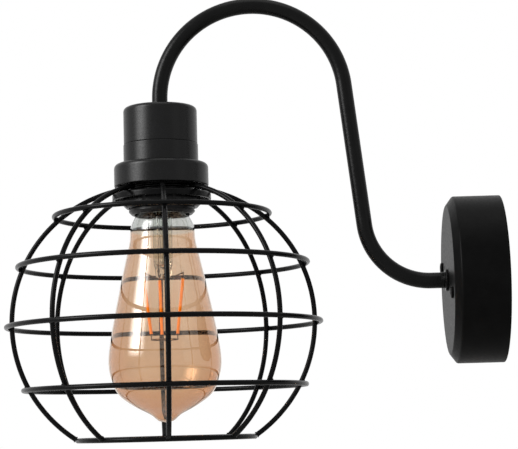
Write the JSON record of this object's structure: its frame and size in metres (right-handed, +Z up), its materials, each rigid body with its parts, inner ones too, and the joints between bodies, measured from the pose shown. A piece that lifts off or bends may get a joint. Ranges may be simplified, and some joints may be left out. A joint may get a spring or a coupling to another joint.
{
  "type": "cage wall light",
  "caption": "Wall light with a round canopy, a swan-neck tube arm and a lamp holder that carries an open wire cage round an amber filament bulb.",
  "frame": {"origin": "centre of the canopy's back plane, on the wall", "axes": "+Y runs into the wall, along the canopy's axis; +Z is up; the arm reaches towards -Y and the lamp hangs down"},
  "size_m": [0.1904, 0.2977, 0.2673],
  "materials": {
    "canopy": "satin black powder coat",
    "tube": "gloss black powder coat",
    "cage": "gloss black powder coat",
    "holder": "moulded, semi-gloss black",
    "fixing": "blackened steel",
    "zinc": "zinc plate",
    "brass": "plain brass",
    "ceramic": "white glazed ceramic",
    "connector": "moulded white plastic",
    "live_insulation": "brown insulation",
    "neutral_insulation": "blue insulation",
    "amber_glass": "amber-coated clear glass",
    "clear_glass": "clear glass",
    "black_glass": "black glass insulator",
    "bulb_cap": "nickel-plated brass",
    "solder": "tin solder",
    "board": "green circuit board",
    "lead_wire": "bright nickel wire",
    "filament": "orange phosphor coating"
  },
  "bodies": {
    "canopy": {"canopy_shell": "canopy", "wall_bracket": "zinc", "face_screws": "fixing", "earth_screw": "brass"},
    "arm": {"arm_tube": "tube", "arm_collar": "tube", "lock_washer": "zinc", "lock_nut": "brass", "live_wire": "live_insulation", "neutral_wire": "neutral_insulation", "terminal_block": "connector", "terminal_screws": "zinc", "holder_cap": "holder", "holder_body": "holder", "holder_core": "ceramic", "screw_shell": "brass", "centre_contact": "brass", "holder_terminals": "brass", "top_ring": "holder"},
    "cage": {"cage_collar": "cage", "hoop_1": "cage", "hoop_2": "cage", "hoop_3": "cage", "hoop_4": "cage", "hoop_5": "cage", "rib_1": "cage", "rib_2": "cage", "rib_3": "cage", "rib_4": "cage", "rib_5": "cage", "rib_6": "cage", "rib_7": "cage", "rib_8": "cage"},
    "clamp_ring": {"clamp_ring": "holder"},
    "bulb": {"bulb_glass": "amber_glass", "bulb_cap": "bulb_cap", "bulb_insulator": "black_glass", "bulb_contact": "solder", "bulb_driver": "board", "bulb_stem": "clear_glass", "filament_1": "filament", "filament_2": "filament", "filament_3": "filament", "filament_4": "filament", "filament_leads": "lead_wire", "filament_foot": "lead_wire"}
  },
  "joints": [
    {"name": "arm_swivel", "type": "hinge", "parent": "canopy", "child": "arm", "pos_m": [0, -0.032, 0], "axis": [0, 1, 0], "range_deg": [-90, 90]},
    {"name": "cage_drop", "type": "slide", "parent": "arm", "child": "cage", "axis": [0, 0, -1], "range_m": [0, 0.009]},
    {"name": "ring_turn", "type": "hinge", "parent": "cage", "child": "clamp_ring", "pos_m": [0, -0.2025, 0.052], "axis": [0, 0, -1], "range_deg": [0, 1296]},
    {"name": "bulb_withdraw", "type": "slide", "parent": "arm", "child": "bulb", "axis": [0, 0, -1], "range_m": [0, 0.17]}
  ],
  "couplings": [
    {"joint": "cage_drop", "follows": "ring_turn", "m_per_rad": 0.00039788}
  ]
}
